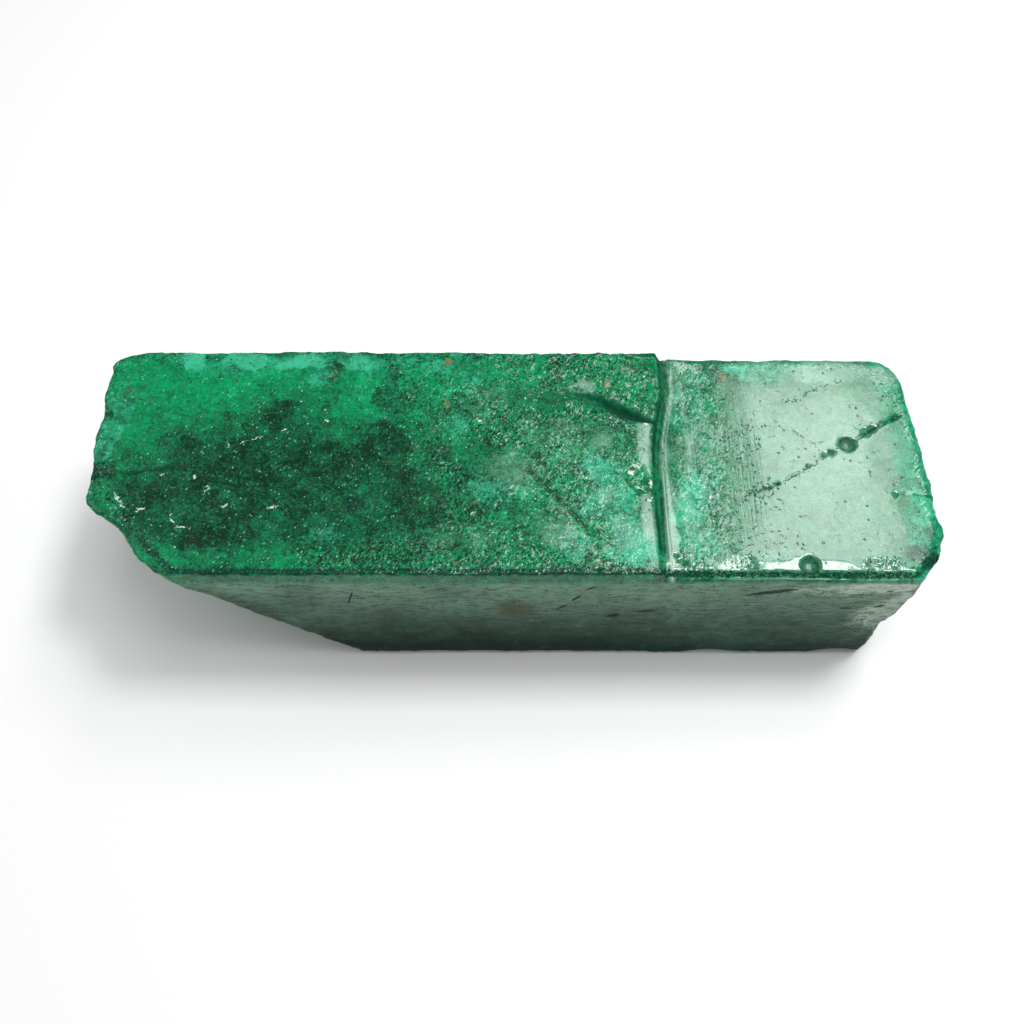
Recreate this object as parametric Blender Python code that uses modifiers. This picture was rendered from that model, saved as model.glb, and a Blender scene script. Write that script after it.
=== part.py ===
"""Raw emerald crystal: a four-sided, broken prism of beryl lying on one of its long faces.

The block starts as a box. Planes break its corners and its left end away, and shallow spheres flake the
broken faces. A fine remesh then rounds every edge, noise roughens each face by its own amount, and the count
of triangles is brought down. Last, flat cutters lower the terraces of the top face, bent tubes open its
fissure, crevice and crack, and balls make its pits. X runs along the crystal, Y across it, Z up, and it
stands on z = 0.
"""

import math

import bmesh
import bpy
from mathutils import Vector, noise

MM = 0.001

# Driving dimensions.
LENGTH = 84.0 * MM
FRONT_Y = -13.0 * MM
REAR_Y = 13.1 * MM
HEIGHT = 19.1 * MM

# The top face: its left part stays at HEIGHT, and the two terraces lie below it.
CORNER_TERRACE_DROP = 0.30 * MM
RIGHT_TERRACE_DROP = 0.55 * MM
FISSURE_RADIUS = 0.42 * MM
FISSURE_DEPTH = 1.1 * MM

# How far the lowest skin is cut away, which leaves the flat facet that the crystal rests on.
REST_CUT = 0.25 * MM

# Mesh fineness. The triangles are those of the roughened block, before the fine carving of its top face.
VOXEL = 0.30 * MM
TRIANGLES = 7600
ROUNDING_PASSES = 3

NODE = "emerald_crystal"
FINE_NOISE_SEED = Vector((3.1, 7.7, 1.9))


# ---------------------------------------------------------------------------------------------- places

# Planes that break the box: a point on each, and the direction of what is lost. Millimetres.
FRACTURES = {
    "left_break": ((-32.2, -13.0, 19.0), (-0.595, -0.610, -0.548)),
    "left_front_corner": ((-39.95, -5.2, 19.0), (-0.90, -0.43, -0.14)),
    "left_end": ((-40.45, 4.0, 19.0), (-0.990, -0.030, -0.110)),
    "left_rear_corner": ((-39.8, 12.3, 19.0), (-0.80, 0.60, -0.06)),
    "left_rear_edge": ((-37.0, 13.1, 19.0), (-0.25, 0.97, 0.03)),
    "right_end": ((41.0, 1.0, 19.0), (0.997, 0.022, -0.062)),
    "right_rear_corner": ((39.75, 11.2, 19.0), (0.68, 0.73, 0.05)),
    "right_rear_edge": ((38.9, 12.05, 19.0), (0.35, 0.94, 0.04)),
    "right_rear_end": ((40.45, 10.0, 19.0), (0.92, 0.40, 0.02)),
    "right_front_corner": ((39.70, -11.6, 19.0), (0.78, -0.62, -0.05)),
    "right_front_end": ((40.75, -9.4, 19.0), (0.95, -0.30, -0.04)),
    "rear_top_edge": ((0.0, 13.1, 18.6), (0.0, 0.72, 0.69)),
    "front_top_edge": ((0.0, -13.0, 17.9), (0.0, -0.94, 0.34)),
    "front_foot": ((0.0, -13.0, 0.7), (0.0, -0.72, -0.69)),
}

# Shallow flakes, each an uneven ball that bites into a face: where it touches, the direction it comes
# from, its radius and its depth. Millimetres.
FLAKE_UNEVENNESS = 0.03
FLAKE_WAVES = 2.2
FLAKES = (
    # The broken lower left.
    ((-33.0, -6.5, 11.5), (-0.602, -0.617, -0.507), 15.0, 1.1),
    ((-26.0, -9.0, 6.0), (-0.60, -0.55, -0.58), 11.0, 0.9),
    ((-35.5, 1.5, 7.5), (-0.70, -0.50, -0.51), 13.0, 1.2),
    ((-29.5, 2.0, 2.2), (-0.55, -0.62, -0.56), 9.0, 0.8),
    ((-37.5, -4.5, 15.6), (-0.60, -0.60, -0.52), 5.0, 0.5),
    # The left end.
    ((-40.2, 8.0, 10.5), (-0.98, 0.10, -0.15), 12.0, 0.55),
    ((-39.6, 9.8, 4.5), (-0.95, 0.25, -0.15), 8.0, 0.8),
    # The right end.
    ((40.6, -3.5, 8.0), (0.99, 0.00, -0.05), 11.0, 0.7),
    ((40.3, 6.5, 7.0), (0.97, 0.20, -0.10), 10.0, 0.9),
    ((39.3, -11.8, 7.0), (0.88, -0.46, 0.00), 5.0, 1.5),
    ((40.0, 1.5, 2.0), (0.93, 0.00, -0.35), 9.0, 0.9),
    # The rear face and its edges.
    ((-16.5, 12.9, 6.5), (0.0, 1.0, -0.08), 22.0, 0.7),
    ((6.0, 13.2, 12.5), (0.05, 1.0, 0.05), 26.0, 0.45),
    ((27.0, 12.7, 2.5), (0.0, 0.90, -0.43), 14.0, 0.9),
    ((-33.0, 13.0, 12.5), (0.0, 1.0, 0.10), 12.0, 0.4),
    ((-2.0, 13.2, 18.9), (0.0, 0.85, 0.50), 5.0, 0.40),
    ((-22.0, 13.1, 19.0), (0.0, 0.80, 0.60), 3.0, 0.20),
    ((26.5, 12.4, 18.4), (0.0, 0.85, 0.50), 4.5, 0.30),
    # The front foot and the underside.
    ((21.0, -13.0, 0.6), (0.0, -0.80, -0.60), 22.0, 0.35),
    ((35.0, -13.0, 1.2), (0.0, -0.86, -0.50), 8.0, 0.3),
    ((2.0, -13.0, 0.2), (0.0, -0.60, -0.80), 22.0, 0.4),
    ((20.0, 11.5, 0.0), (0.10, 0.60, -0.80), 12.0, 0.8),
    # A worn hollow at the left of the top face.
    ((-36.0, -8.0, 19.1), (-0.30, -0.30, 0.90), 9.0, 0.30),
)

# Growth ledges on the rear face: long, thin boxes that step it back. Middle and size, millimetres.
REAR_LEDGES = (
    ((14.0, 13.7, 3.0), (62.0, 2.2, 7.0)),
    ((-30.0, 13.9, 6.0), (31.0, 2.2, 12.4)),
    ((38.0, 13.3, 10.0), (44.4, 1.8, 30.0)),
)

# Outlines of the two terraces on the top face, seen from above. Millimetres.
CORNER_TERRACE = (
    (15.9, 18.0), (15.9, 8.0), (14.6, 3.6), (12.6, 4.4), (10.8, 5.2),
    (9.4, 6.2), (7.4, 6.9), (5.4, 7.4), (2.4, 8.6), (-3.0, 11.6), (-8.0, 18.0),
)
RIGHT_TERRACE = (
    (14.6, -18.0), (48.0, -18.0), (48.0, 18.0), (15.9, 18.0), (15.9, 8.0), (15.5, 6.0),
    (15.0, 4.2), (14.7, 2.5), (14.5, 0.5), (14.5, -3.0), (14.4, -8.0),
)
RIGHT_TERRACE_TILT = math.radians(-0.35)

# The fissure's middle line on the top face. Millimetres.
FISSURE = (
    (15.9, 16.0), (15.9, 8.0), (15.5, 6.1), (15.1, 4.3), (14.7, 2.5), (14.5, 0.8),
    (14.5, -2.7), (14.4, -6.0), (14.5, -11.2), (14.5, -15.0),
)
# The ledge's shadowed foot, a narrow crevice. Millimetres.
CREVICE = ((4.4, 7.6), (7.4, 6.9), (9.4, 6.2), (10.8, 5.2), (12.6, 4.4), (14.8, 3.8))
CREVICE_RADIUS = 0.45 * MM
CREVICE_DEPTH = 1.0 * MM

# A healed crack, pitted along its length, crosses the right terrace. Millimetres.
SEAM = ((22.8, -4.0), (25.8, -2.9), (28.3, -1.5), (31.9, 0.9), (33.6, 1.8), (36.0, 3.4), (41.0, 6.4))
SEAM_RADIUS = 0.24 * MM
SEAM_DEPTH = 0.32 * MM

# A finer crack left of the fissure. Millimetres.
HAIRLINE = ((2.8, -2.2), (5.1, -4.9), (6.5, -6.5), (7.9, -8.8))
HAIRLINE_RADIUS = 0.20 * MM
HAIRLINE_DEPTH = 0.30 * MM

# How much deeper the channels' tubes are than they are wide.
CHANNEL_STRETCH = 3.0

# Round pits of the top face: middle, radius and depth below HEIGHT. Millimetres.
PITS = (
    ((33.63, 1.81), 0.85, 1.30),
    ((28.04, -11.6), 0.85, 1.35),
    ((35.96, 3.35), 0.75, 0.95),
    ((31.91, 0.88), 0.50, 0.90),
    ((-37.9, 6.6), 0.55, 0.35),
    ((12.7, -1.9), 0.95, 0.45),
    ((13.1, -3.6), 0.80, 0.40),
    ((11.9, -2.9), 0.70, 0.35),
)


# ------------------------------------------------------------------------------------------- collections

def clear_scene():
    for obj in list(bpy.data.objects):
        bpy.data.objects.remove(obj, do_unlink=True)


def new_collection(name, parent=None):
    collection = bpy.data.collections.new(name)
    (parent or bpy.context.scene.collection).children.link(collection)
    return collection


def add_object(name, data, collection):
    obj = bpy.data.objects.new(name, data)
    collection.objects.link(obj)
    return obj


def as_cutter(obj):
    obj.hide_render = True
    obj.display_type = "WIRE"
    return obj


def in_metres(point):
    return Vector(point) * MM


# --------------------------------------------------------------------------------------------- the block

def break_away(bm, point, outward):
    """Cuts off what lies beyond a plane, and closes the cut."""
    everything = bm.verts[:] + bm.edges[:] + bm.faces[:]
    cut = bmesh.ops.bisect_plane(
        bm, geom=everything, plane_co=point, plane_no=Vector(outward).normalized(), clear_outer=True
    )
    rim = [item for item in cut["geom_cut"] if isinstance(item, bmesh.types.BMEdge)]
    bmesh.ops.contextual_create(bm, geom=rim)


def add_block(collection):
    """The box, with its corners and its left end broken off along planes."""
    bm = bmesh.new()
    bmesh.ops.create_cube(bm, size=1.0)
    bmesh.ops.scale(bm, vec=(LENGTH, REAR_Y - FRONT_Y, HEIGHT), verts=bm.verts)
    bmesh.ops.translate(bm, vec=(0.0, (REAR_Y + FRONT_Y) / 2, HEIGHT / 2), verts=bm.verts)
    for point, outward in FRACTURES.values():
        break_away(bm, in_metres(point), outward)
    bmesh.ops.recalc_face_normals(bm, faces=bm.faces)
    mesh = bpy.data.meshes.new(NODE)
    bm.to_mesh(mesh)
    bm.free()
    return add_object(NODE, mesh, collection)


# -------------------------------------------------------------------------------------------- the cutters

def add_ball_cutter(name, collection, middle, radius, subdivisions=4):
    bm = bmesh.new()
    bmesh.ops.create_icosphere(bm, subdivisions=subdivisions, radius=radius)
    mesh = bpy.data.meshes.new(name)
    bm.to_mesh(mesh)
    bm.free()
    ball = add_object(name, mesh, collection)
    ball.location = middle
    return as_cutter(ball)


def add_flake_cutter(name, collection, flake):
    """A ball that bites into a face by about its depth, uneven enough for a ragged rim."""
    touch, outward, radius, depth = flake
    middle = in_metres(touch) + Vector(outward).normalized() * (radius - depth) * MM
    ball = add_ball_cutter(name, collection, middle, radius * MM)
    for vertex in ball.data.vertices:
        direction = vertex.co.normalized()
        wave = noise.noise(direction * FLAKE_WAVES * math.sqrt(radius) + Vector(touch))
        vertex.co *= 1.0 + FLAKE_UNEVENNESS * wave
    return ball


def add_box_cutter(name, collection, middle, size):
    bm = bmesh.new()
    bmesh.ops.create_cube(bm, size=1.0)
    bmesh.ops.scale(bm, vec=in_metres(size), verts=bm.verts)
    mesh = bpy.data.meshes.new(name)
    bm.to_mesh(mesh)
    bm.free()
    box = add_object(name, mesh, collection)
    box.location = in_metres(middle)
    return as_cutter(box)


def curve_to_mesh(obj):
    """A mesh object in place of a curve object, because a Boolean takes no curve."""
    bpy.context.view_layer.update()
    graph = bpy.context.evaluated_depsgraph_get()
    mesh = bpy.data.meshes.new_from_object(obj.evaluated_get(graph))
    bm = bmesh.new()
    bm.from_mesh(mesh)
    bmesh.ops.remove_doubles(bm, verts=bm.verts, dist=1e-6)
    bmesh.ops.recalc_face_normals(bm, faces=bm.faces)
    bm.to_mesh(mesh)
    bm.free()
    made = add_object(obj.name + "_mesh", mesh, obj.users_collection[0])
    made.matrix_world = obj.matrix_world
    bpy.data.objects.remove(obj, do_unlink=True)
    return made


def add_terrace_cutter(name, collection, outline, floor_z, tilt=0.0):
    """A flat slab whose underside is the terrace's floor."""
    thickness = 6.0 * MM
    curve = bpy.data.curves.new(name, "CURVE")
    curve.dimensions = "2D"
    curve.fill_mode = "BOTH"
    curve.extrude = thickness / 2
    spline = curve.splines.new("POLY")
    spline.points.add(len(outline) - 1)
    for point, (x, y) in zip(spline.points, outline):
        point.co = (x * MM, y * MM, 0.0, 1.0)
    spline.use_cyclic_u = True
    slab = add_object(name, curve, collection)
    slab.location.z = floor_z + thickness / 2
    slab.rotation_euler.y = -tilt
    return as_cutter(curve_to_mesh(slab))


def add_channel_cutter(name, collection, path, radius, top_z, depth, thin_end=1.0):
    """A bent tube, drawn tall, that opens a narrow channel along a line on the top face."""
    curve = bpy.data.curves.new(name, "CURVE")
    curve.dimensions = "3D"
    curve.bevel_depth = radius
    curve.bevel_resolution = 3
    curve.use_fill_caps = True
    spline = curve.splines.new("POLY")
    last = len(path) - 1
    spline.points.add(last)
    for i, (x, y) in enumerate(path):
        spline.points[i].co = (x * MM, y * MM, 0.0, 1.0)
        spline.points[i].radius = thin_end + (1.0 - thin_end) * i / last
    tube = add_object(name, curve, collection)
    tube.scale.z = CHANNEL_STRETCH
    tube.location.z = top_z - depth + radius * CHANNEL_STRETCH
    return as_cutter(curve_to_mesh(tube))


def add_pit_cutter(name, collection, pit):
    (x, y), radius, depth = pit
    middle = Vector((x * MM, y * MM, HEIGHT - (depth - radius) * MM))
    return add_ball_cutter(name, collection, middle, radius * MM, subdivisions=3)


def add_rough_cutters(collection):
    """What breaks the block before it is roughened."""
    for i, flake in enumerate(FLAKES):
        add_flake_cutter(f"flake_cut_{i}", collection, flake)
    for i, (middle, size) in enumerate(REAR_LEDGES):
        add_box_cutter(f"rear_ledge_cut_{i}", collection, middle, size)


def add_fine_cutters(collection):
    """What is carved into the top face last, and keeps its sharp edges."""
    corner_floor = HEIGHT - CORNER_TERRACE_DROP
    right_floor = HEIGHT - RIGHT_TERRACE_DROP
    add_terrace_cutter("corner_terrace_cut", collection, CORNER_TERRACE, corner_floor)
    add_terrace_cutter("right_terrace_cut", collection, RIGHT_TERRACE, right_floor, RIGHT_TERRACE_TILT)
    add_channel_cutter("fissure_cut", collection, FISSURE, FISSURE_RADIUS, HEIGHT, FISSURE_DEPTH)
    add_channel_cutter("crevice_cut", collection, CREVICE, CREVICE_RADIUS, HEIGHT, CREVICE_DEPTH, thin_end=0.4)
    add_channel_cutter("seam_cut", collection, SEAM, SEAM_RADIUS, right_floor, SEAM_DEPTH)
    add_channel_cutter("hairline_cut", collection, HAIRLINE, HAIRLINE_RADIUS, HEIGHT, HAIRLINE_DEPTH)
    for i, pit in enumerate(PITS):
        add_pit_cutter(f"pit_cut_{i}", collection, pit)


# ---------------------------------------------------------------------------------------------- the finish

def apply_modifiers(obj):
    bpy.context.view_layer.update()
    graph = bpy.context.evaluated_depsgraph_get()
    mesh = bpy.data.meshes.new_from_object(obj.evaluated_get(graph))
    obj.modifiers.clear()
    obj.data = mesh


def cut_with(obj, cutters):
    boolean = obj.modifiers.new("carving", "BOOLEAN")
    boolean.operation = "DIFFERENCE"
    boolean.solver = "EXACT"
    boolean.operand_type = "COLLECTION"
    boolean.collection = cutters


def fine_even_mesh(obj):
    """Small, even faces over the whole skin, with every edge a little rounded."""
    remesh = obj.modifiers.new("even_faces", "REMESH")
    remesh.mode = "VOXEL"
    remesh.voxel_size = VOXEL
    rounding = obj.modifiers.new("rounding", "SMOOTH")
    rounding.factor = 0.5
    rounding.iterations = ROUNDING_PASSES


def broken_share(normal):
    """1 on a broken face, 0 on a natural, flat face of the prism."""
    along_axis = max(abs(normal.y), abs(normal.z))
    return min(1.0, max(0.0, (0.98 - along_axis) / 0.12))


def roughness_at(place, normal):
    """How far the skin stands out or in at a place, in metres."""
    at = place / MM + FINE_NOISE_SEED
    broken = broken_share(normal)
    # Broken faces are hackly: ridged lumps a few millimetres wide.
    hackly = noise.ridged_multi_fractal(at * 0.22, 0.9, 2.1, 3, 1.0, 2.0) - 1.2
    lumps = noise.noise(at * 0.55)
    rough = broken * (0.22 * hackly + 0.12 * lumps)
    # Natural faces swell gently and carry growth lines along the crystal.
    swell = noise.noise(at * 0.09)
    lines = noise.noise(Vector((at.x * 0.05, at.y * 0.75, at.z * 0.75)))
    sides = 1.0 - abs(normal.z)
    natural = (1.0 - broken) * (0.10 * swell + 0.09 * lines * sides)
    return (rough + natural) * MM


def roughen(obj):
    normals = [vertex.normal.copy() for vertex in obj.data.vertices]
    for vertex, normal in zip(obj.data.vertices, normals):
        vertex.co = vertex.co + normal * roughness_at(vertex.co, normal)


def thin_out(obj):
    """Brings the triangles down to the budget, keeping them where the shape turns."""
    triangles = sum(len(face.vertices) - 2 for face in obj.data.polygons)
    thin = obj.modifiers.new("fewer_triangles", "DECIMATE")
    thin.decimate_type = "COLLAPSE"
    thin.use_collapse_triangulate = True
    thin.ratio = TRIANGLES / triangles


def flatten_foot(obj):
    """Planes off the lowest skin, so that the crystal rests on a flat facet."""
    bm = bmesh.new()
    bm.from_mesh(obj.data)
    lowest = min(vertex.co.z for vertex in bm.verts)
    break_away(bm, Vector((0.0, 0.0, lowest + REST_CUT)), (0.0, 0.0, -1.0))
    bmesh.ops.dissolve_degenerate(bm, dist=1e-6, edges=bm.edges)
    bmesh.ops.triangulate(bm, faces=bm.faces)
    bmesh.ops.recalc_face_normals(bm, faces=bm.faces)
    bm.to_mesh(obj.data)
    bm.free()


def centre_on_foot(obj):
    """Puts the origin under the middle of the crystal's box, at its foot."""
    low, high = (
        Vector(pick(vertex.co[axis] for vertex in obj.data.vertices) for axis in range(3)) for pick in (min, max)
    )
    for vertex in obj.data.vertices:
        vertex.co -= Vector(((low.x + high.x) / 2, (low.y + high.y) / 2, low.z))


def emerald_material():
    material = bpy.data.materials.new("emerald")
    material.use_nodes = True
    shader = material.node_tree.nodes["Principled BSDF"]
    shader.inputs["Base Color"].default_value = (0.012, 0.17, 0.075, 1.0)
    shader.inputs["Roughness"].default_value = 0.32
    shader.inputs["Metallic"].default_value = 0.0
    shader.inputs["IOR"].default_value = 1.58
    return material


def build():
    clear_scene()
    crystal_parts = new_collection("raw_emerald_crystal")
    cutters = new_collection("cutters")
    rough_cutters = new_collection("rough_cutters", cutters)
    fine_cutters = new_collection("fine_cutters", cutters)
    crystal = add_block(crystal_parts)
    add_rough_cutters(rough_cutters)
    add_fine_cutters(fine_cutters)
    cut_with(crystal, rough_cutters)
    fine_even_mesh(crystal)
    apply_modifiers(crystal)
    roughen(crystal)
    thin_out(crystal)
    cut_with(crystal, fine_cutters)
    apply_modifiers(crystal)
    flatten_foot(crystal)
    centre_on_foot(crystal)
    crystal.data.materials.append(emerald_material())
    crystal.data.shade_smooth()
    crystal.data.set_sharp_from_angle(angle=math.radians(40))


build()
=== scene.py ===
import math
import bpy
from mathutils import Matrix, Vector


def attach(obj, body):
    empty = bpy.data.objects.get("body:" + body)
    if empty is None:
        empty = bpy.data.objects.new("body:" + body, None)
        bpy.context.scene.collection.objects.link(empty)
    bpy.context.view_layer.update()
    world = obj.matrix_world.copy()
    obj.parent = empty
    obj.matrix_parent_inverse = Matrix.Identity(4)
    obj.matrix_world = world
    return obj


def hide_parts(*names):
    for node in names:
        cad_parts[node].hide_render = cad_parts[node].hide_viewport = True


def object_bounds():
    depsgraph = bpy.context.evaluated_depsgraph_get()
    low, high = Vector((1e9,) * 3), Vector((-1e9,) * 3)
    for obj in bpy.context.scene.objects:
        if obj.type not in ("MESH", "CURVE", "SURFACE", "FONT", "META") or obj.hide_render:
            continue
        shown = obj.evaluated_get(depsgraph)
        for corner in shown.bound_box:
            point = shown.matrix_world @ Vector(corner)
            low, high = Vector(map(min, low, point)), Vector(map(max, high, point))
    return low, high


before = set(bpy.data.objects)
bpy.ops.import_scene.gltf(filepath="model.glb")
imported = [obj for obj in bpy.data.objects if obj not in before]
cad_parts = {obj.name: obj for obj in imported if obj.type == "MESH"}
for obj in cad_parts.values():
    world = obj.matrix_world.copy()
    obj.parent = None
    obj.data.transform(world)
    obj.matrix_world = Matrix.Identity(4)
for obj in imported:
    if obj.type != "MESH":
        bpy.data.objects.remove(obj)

from types import SimpleNamespace

import bmesh
import bpy
import numpy as np
from mathutils import Euler, Vector, noise
from mathutils.bvhtree import BVHTree

MM = 0.001
# Places are given in the crystal's drawing frame, in millimetres. The part's frame lies this far from it.
DRAWING = np.array((0.293, 0.055, 0.143))
NODE = "emerald_crystal"

size_at_load = [list(corner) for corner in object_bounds()]

# ---- the top face's carved forms

# The heights of the top face, left and right of the fissure.
LEFT_LEVEL = 19.0
RIGHT_LEVEL = 18.45
# The fissure's dark middle: Y and, there, X.
FISSURE = (
    (-14.0, 14.55), (-11.2, 14.5), (-9.2, 14.47), (-7.1, 14.43), (-4.9, 14.4), (-2.7, 14.45), (-1.0, 14.48),
    (0.8, 14.52), (2.5, 14.72), (4.3, 15.06), (6.1, 15.48), (8.0, 15.8), (9.9, 15.86), (14.0, 15.85),
)
# The ledge: X and, there, Y, and the half width and the depth of the crevice at its foot.
LEDGE = (
    (-6.0, 12.5, 0.1, 0.0), (-1.0, 10.0, 0.1, 0.05), (2.4, 8.62, 0.18, 0.16), (3.9, 7.78, 0.24, 0.24),
    (5.4, 7.38, 0.34, 0.32), (7.4, 6.95, 0.46, 0.5), (9.4, 6.22, 0.6, 0.7), (10.8, 5.3, 0.68, 0.8),
    (12.3, 4.58, 0.66, 0.8), (13.8, 4.1, 0.42, 0.45), (16.0, 3.9, 0.2, 0.2),
)
# Round pits: X, Y, radius, depth.
PITS = (
    (33.63, 1.81, 0.86, 0.5), (28.04, -11.45, 0.9, 0.45), (31.91, 0.85, 0.36, 0.22),
    (31.25, 0.62, 0.28, 0.16), (35.75, 3.2, 0.5, 0.22), (36.45, 3.62, 0.42, 0.18),
    (37.33, -4.01, 0.24, 0.2), (-37.9, 6.6, 0.55, 0.3), (16.2, -11.2, 0.3, 0.25), (15.7, -10.6, 0.22, 0.2),
)
# Narrow cracks: path, half width, depth, and how broken the line is.
CRACKS = {
    "hairline": (
        ((2.0, -1.4), (3.2, -2.7), (5.1, -4.9), (6.5, -6.5), (7.9, -8.8)), 0.24, 0.18, 0.2,
    ),
    "left_crack": (
        ((-40.4, -2.5), (-39.0, -1.9), (-36.3, -1.8), (-33.4, -1.4), (-31.6, -0.9)), 0.26, 0.12, 0.4,
    ),
    "right_crack": (((37.6, -3.8), (38.8, -3.9), (41.0, -4.2)), 0.12, 0.04, 0.7),
    "seam": (((22.8, -4.0), (25.8, -2.9), (28.3, -1.5), (31.9, 0.9)), 0.13, 0.07, 0.8),
    "seam_end": (((34.4, 2.3), (36.9, 3.9), (38.2, 4.6), (41.0, 6.2)), 0.16, 0.08, 0.5),
}
# Lines of tiny pits: path and half width.
PIT_LINES = (
    (((22.8, -4.0), (24.2, -3.9), (25.8, -2.9), (27.3, -2.2), (28.3, -1.5), (29.6, -0.9), (31.9, 0.9),
      (33.6, 1.8), (36.0, 3.4), (38.2, 4.6)), 0.22),
    (((27.8, 6.9), (29.0, 7.0), (30.5, 8.0), (32.4, 8.9), (34.0, 9.5)), 0.26),
    (((24.0, 3.8), (26.4, 4.0), (28.4, 3.5), (30.6, 1.6)), 0.16),
)
# Pitted regions. All regions are soft-edged ellipses: X, Y, half width, half height, strength.
PITTED_REGIONS = (
    (24.3, -3.6, 2.2, 1.6, 0.9), (23.0, 1.6, 1.9, 3.4, 0.6), (21.6, 3.6, 1.6, 1.2, 0.7),
    (18.7, -4.4, 1.4, 0.8, 0.6), (21.5, -7.6, 2.2, 2.6, 0.4), (24.8, -8.8, 2.6, 1.4, 0.35),
    (38.6, 8.2, 1.2, 2.2, 0.5),
)
# The right part's front rim, tilted so that it mirrors: X and, there, how far in from the edge it reaches.
MIRROR_RIM = (
    (16.8, 0.9), (17.6, 1.2), (19.6, 1.2), (20.2, 1.85), (20.9, 2.35), (21.6, 2.5), (22.7, 2.4),
    (23.2, 1.75), (26.0, 1.75), (26.8, 2.3), (28.9, 1.95), (30.3, 1.95), (31.6, 1.75), (32.5, 1.2),
    (33.2, 1.75), (34.4, 2.4), (35.6, 1.9), (36.6, 1.25), (37.2, 0.9),
)
RIM_SLOPE = 0.11
# Nearer to the front wall than this, the same rim falls away more steeply.
BROW_WIDTH = 0.95
BROW_SLOPE = 0.3
# Duller, grainier regions of the right part.
MATT_REGIONS = (
    (24.6, 10.6, 5.0, 2.0, 1.0), (19.0, 6.8, 4.6, 3.6, 0.8), (18.6, -1.0, 3.6, 6.0, 0.75),
    (39.6, 8.8, 1.6, 2.4, 0.9), (19.0, -9.6, 2.6, 2.4, 0.8), (39.4, -8.8, 1.8, 2.6, 0.8),
)
# Finely scratched regions.
SCRATCHED_REGIONS = (
    (23.4, -0.6, 1.7, 7.6, 1.0), (18.4, 1.0, 0.9, 5.0, 0.7), (20.6, 2.6, 0.8, 4.0, 0.6),
)
# The gouge left of the fissure.
GOUGE_MIDDLE = (12.75, -2.5)
GOUGE_HALF_WIDTH = 1.35
GOUGE_HALF_LENGTH = 2.1
GOUGE_DEPTH = 0.24


def smooth(low, high, x):
    """Rises smoothly from 0 at low to 1 at high."""
    t = np.clip((x - low) / (high - low), 0.0, 1.0)
    return t * t * (3.0 - 2.0 * t)


def hump(x, middle, half_width):
    """A bell that is 1 at its middle."""
    return np.exp(-(((x - middle) / half_width) ** 2))


def path_distance(x, y, path):
    """Distance to a bent line."""
    best = np.full(x.shape, 1e9)
    for (x0, y0), (x1, y1) in zip(path, path[1:]):
        dx, dy = x1 - x0, y1 - y0
        t = np.clip(((x - x0) * dx + (y - y0) * dy) / (dx * dx + dy * dy), 0.0, 1.0)
        best = np.minimum(best, np.hypot(x - x0 - t * dx, y - y0 - t * dy))
    return best


def noise_at(points, scale, seed=0.0, stretch=(1.0, 1.0, 1.0), turn=0.0):
    """Smooth noise from -1 to 1 at each point."""
    c, s = math.cos(turn), math.sin(turn)
    x = (points[:, 0] * c + points[:, 1] * s) * scale / stretch[0] + seed
    y = (-points[:, 0] * s + points[:, 1] * c) * scale / stretch[1] + seed * 1.7
    z = points[:, 2] * scale / stretch[2] + seed * 0.3
    return np.array([noise.noise(p) for p in zip(x, y, z)])


def ridged_at(points, scale, seed=0.0):
    """Ridged, hackly noise from about -1 to 1 at each point."""
    scaled = points * scale + seed
    return np.array([noise.ridged_multi_fractal(p, 0.9, 2.1, 4, 1.0, 2.0) for p in scaled.tolist()]) - 1.2


def from_fissure(x, y):
    """How far right of the fissure's middle each place is."""
    return x - np.interp(y, *zip(*FISSURE))


def left_part(s):
    """1 left of the fissure's middle and 0 right of it."""
    return 1.0 - smooth(-0.2, 0.1, s)


def ledge_at(x, y):
    """How far behind the ledge each place is, and the crevice's half width and depth there."""
    ledge_x, ledge_y, half_width, depth = zip(*LEDGE)
    behind = y - np.interp(x, ledge_x, ledge_y)
    return behind, np.interp(x, ledge_x, half_width), np.interp(x, ledge_x, depth)


def pits_at(x, y):
    """For each round pit, how many radii from its middle each place is, and its depth."""
    for px, py, radius, depth in PITS:
        yield np.hypot(x - px, y - py) / radius, depth


def cracks_at(x, y, flat, widening=1.0):
    """For each narrow crack, how much each place lies in it, and its depth."""
    wobble = noise_at(flat, 1.6, 41.0) * 0.16
    breaks = smooth(-0.1, 0.25, noise_at(flat, 1.3, 43.0))
    for path, half_width, depth, broken in CRACKS.values():
        line = hump(path_distance(x, y, path) + wobble, 0.0, widening * half_width)
        yield line * (1.0 - broken * breaks), depth


def grain_share(x, y, flat):
    """How granular the top face is: most in the middle and along the front, little on the right."""
    s = from_fissure(x, y)
    left = 1.0 - smooth(-1.6, -1.0, s)
    middle = smooth(-16.0, -3.0, x + 4.0 * noise_at(flat, 0.12, 71.0))
    front = smooth(8.5, 11.0, 1.2 * noise_at(flat, 0.3, 73.0) - y) * smooth(-21.0, -17.0, x)
    patchy = 0.3 + 0.7 * smooth(-0.25, 0.25, noise_at(flat, 0.22, 75.0))
    corner = smooth(0.0, 0.8, ledge_at(x, y)[0]) * smooth(-3.0, 4.0, x)
    strip = 0.55 * patchy * smooth(1.2, 1.8, s) * (1.0 - smooth(20.5, 22.5, x))
    return np.clip(left * np.maximum(np.maximum(middle * patchy, front), corner) + strip, 0.0, 1.0)


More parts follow.
